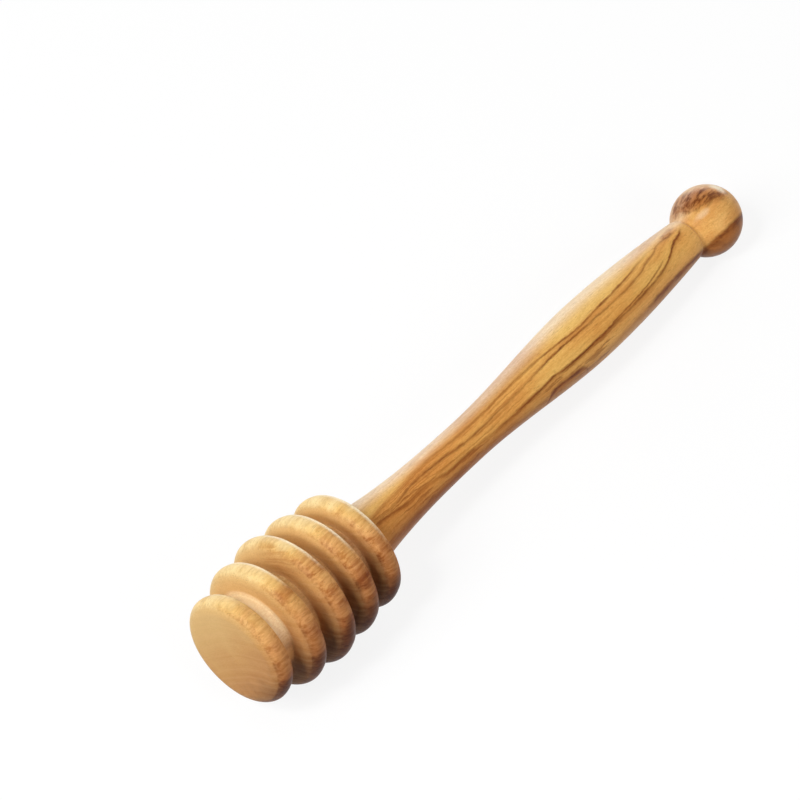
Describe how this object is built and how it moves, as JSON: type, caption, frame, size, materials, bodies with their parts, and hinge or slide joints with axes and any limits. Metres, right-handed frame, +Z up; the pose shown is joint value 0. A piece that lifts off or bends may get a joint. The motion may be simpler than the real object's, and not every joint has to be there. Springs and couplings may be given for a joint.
{
  "type": "honey dipper",
  "caption": "Turned olive-wood honey dipper: a barrel-shaped ribbed head on a long waisted handle that ends in a ball.",
  "frame": {"origin": "on the table under the middle of the lying dipper, at the centre of the bottom of its bounding box", "axes": "+Z up from the table; +Y along the dipper from the front face of the head to the ball; +X across it, to the right when looking along +Y. The dipper rests on its widest disc and its ball, so its axis dips by 2.815 degrees towards the ball."},
  "size_m": [0.0286, 0.1598, 0.0286],
  "materials": {
    "head_wood": "olive wood, turned, sanded smooth and oiled; satin",
    "handle_wood": "olive wood with dark brown veins along it, turned, sanded smooth and oiled; satin",
    "cured_glue": "cured wood glue, translucent yellowish, hidden in the joint"
  },
  "bodies": {
    "root": {"head": "head_wood", "handle": "handle_wood", "glue_film": "cured_glue"}
  },
  "joints": []
}
